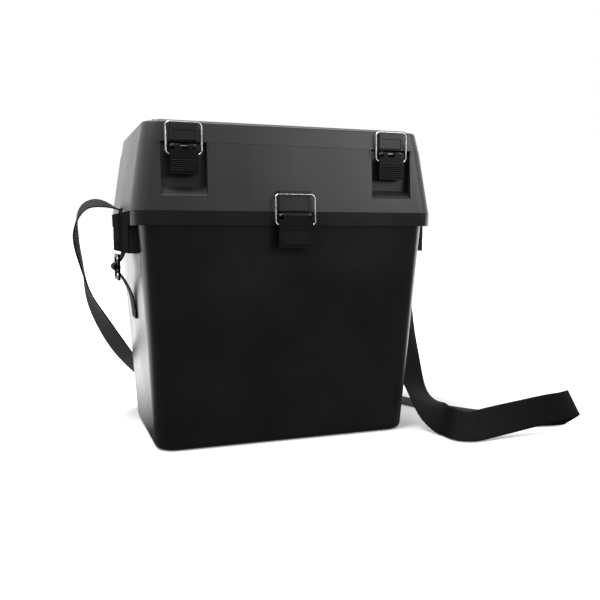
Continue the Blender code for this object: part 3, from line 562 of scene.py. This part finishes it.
def make_latches():
    for name in ("centre", "left", "right"):
        make_bail(name)
        lever = rounded_moulding(f"{name}_lever", NYLON, LEVER_EDGE, f"{name}_lever_moulding", segments=2)
        make_grip(name)
        make_pin(f"{name}_lever_pin", PIN_STEEL)


# ---- shells and what they hold ----
def make_shells():
    for node, material, edge, slot in (("tub", TUB_PLASTIC, TUB_EDGE, "tub_shell"),
                                       ("lid", LID_PLASTIC, LID_EDGE, "lid_shell"),
                                       ("cap", CAP_PLASTIC, CAP_EDGE, "lid_shell")):
        rounded_moulding(node, material, edge, f"{node}_moulding")
    for node in ("inner_tray", "tray_partition", "lid_divider_long", "lid_divider_left", "lid_divider_middle",
                 "lid_divider_right"):
        rounded_moulding(node, TRAY_PLASTIC, TRAY_EDGE, f"{node}_moulding", segments=2)
    for kind in ("lid", "cap"):
        for side in ("left", "right"):
            make_pin(f"{kind}_hinge_pin_{side}", PIN_STEEL)


# ---- studio ----
def make_floor():
    """A plain pale sheet, evenly bright away from the box, that takes soft contact shadows; its glow is lowered
    near the box, as painted shade round it.
    What the plastic picks up from it falls from bright behind the box to dim in front, as on a table lit from
    behind."""
    corners = [(x * FLOOR_HALF, y * FLOOR_HALF, 0.0) for x, y in ((-1, -1), (1, -1), (1, 1), (-1, 1))]
    mesh = bpy.data.meshes.new("floor")
    mesh.from_pydata(corners, [], [(0, 1, 2, 3)])
    made, tree, shader = start("pale paper sheet", Base_Color=linear("#f2f2f2"), Emission_Color=WHITE,
                               Roughness=0.9, Specular_IOR_Level=0.0)
    where = add(tree, "ShaderNodeTexCoord").outputs["Object"]
    away = add(tree, "ShaderNodeVectorMath", {0: where}, operation="LENGTH")
    # the floor's glow is lowest near the box: painted shade round it
    far = add(tree, "ShaderNodeMapRange", {"Value": away.outputs["Value"], "From Min": PAINTED_SHADE_FADE_FROM,
                                           "From Max": PAINTED_SHADE_FADE_TO, "To Min": FLOOR_GLOW_IN_PAINTED_SHADE, "To Max": 1.0})
    tree.links.new(far.outputs[0], shader.inputs["Emission Strength"])
    at = add(tree, "ShaderNodeSeparateXYZ", {0: where})
    level = add(tree, "ShaderNodeMapRange", {"Value": at.outputs["Y"], "From Min": 0.0,
                                             "From Max": FLOOR_BACK_Y, "To Min": FLOOR_FRONT,
                                             "To Max": FLOOR_BACK})
    glow = add(tree, "ShaderNodeEmission", {"Strength": level.outputs[0]})
    rays = add(tree, "ShaderNodeLightPath").outputs["Is Camera Ray"]
    mixed = add(tree, "ShaderNodeMixShader", {0: rays, 1: glow.outputs[0], 2: shader.outputs[0]})
    tree.links.new(mixed.outputs[0], tree.nodes["Material Output"].inputs["Surface"])
    mesh.materials.append(made)
    floor = bpy.data.objects.new("floor", mesh)
    bpy.context.scene.collection.objects.link(floor)


def make_surround():
    """A white studio: the camera sees plain white, and what the plastic reflects runs from bright behind and
    above to dim in front."""
    world = bpy.data.worlds.new("studio")
    bpy.context.scene.world = world
    world.use_nodes = True
    tree = world.node_tree
    tree.nodes.clear()
    way = add(tree, "ShaderNodeTexCoord").outputs["Generated"]
    parts = add(tree, "ShaderNodeSeparateXYZ", {"Vector": way})
    back = add(tree, "ShaderNodeMapRange", {"Value": parts.outputs["Y"], "From Min": -0.75, "From Max": 0.35,
                                            "To Min": FRONT_LIGHT, "To Max": BACK_LIGHT})
    up = add(tree, "ShaderNodeMapRange", {"Value": parts.outputs["Z"], "From Min": 0.0, "From Max": 0.8,
                                          "To Min": 0.0, "To Max": TOP_LIGHT})
    level = add(tree, "ShaderNodeMath", {0: back.outputs[0], 1: up.outputs[0]}, operation="ADD")
    path = add(tree, "ShaderNodeLightPath")
    share = add(tree, "ShaderNodeMapRange", {"Value": path.outputs["Is Diffuse Ray"], "To Min": 1.0,
                                             "To Max": DIFFUSE_SHARE})
    level = add(tree, "ShaderNodeMath", {0: level.outputs[0], 1: share.outputs[0]}, operation="MULTIPLY")
    lit = add(tree, "ShaderNodeBackground", {"Strength": level.outputs[0], "Color": WHITE})
    seen = add(tree, "ShaderNodeBackground", {"Strength": 1.0, "Color": WHITE})
    rays = path.outputs["Is Camera Ray"]
    mixed = add(tree, "ShaderNodeMixShader", {0: rays, 1: lit.outputs[0], 2: seen.outputs[0]})
    add(tree, "ShaderNodeOutputWorld", {"Surface": mixed.outputs[0]})


def softbox(name, at, aim, size, power):
    """A rectangular lamp of the given size in metres and power in watts, turned to face aim."""
    data = bpy.data.lights.new(name, "AREA")
    data.shape = "RECTANGLE"
    data.size, data.size_y = size
    data.energy = power
    made = bpy.data.objects.new(name, data)
    made.location = at
    made.rotation_euler = (Vector(aim) - Vector(at)).to_track_quat("-Z", "Y").to_euler()
    bpy.context.scene.collection.objects.link(made)


def make_studio():
    bpy.context.scene.view_settings.view_transform = "Standard"
    make_floor()
    make_surround()
    softbox("key softbox", at=(-0.65, -0.15, 2.0), aim=(0.0, 0.0, 0.2), size=(1.1, 0.9), power=60.0)
    softbox("front softbox", at=(0.95, -1.10, 0.85), aim=(0.05, 0.0, 0.33), size=(1.1, 0.7), power=8.0)


place_camera()
make_strap()
make_shells()
make_latches()
make_studio()
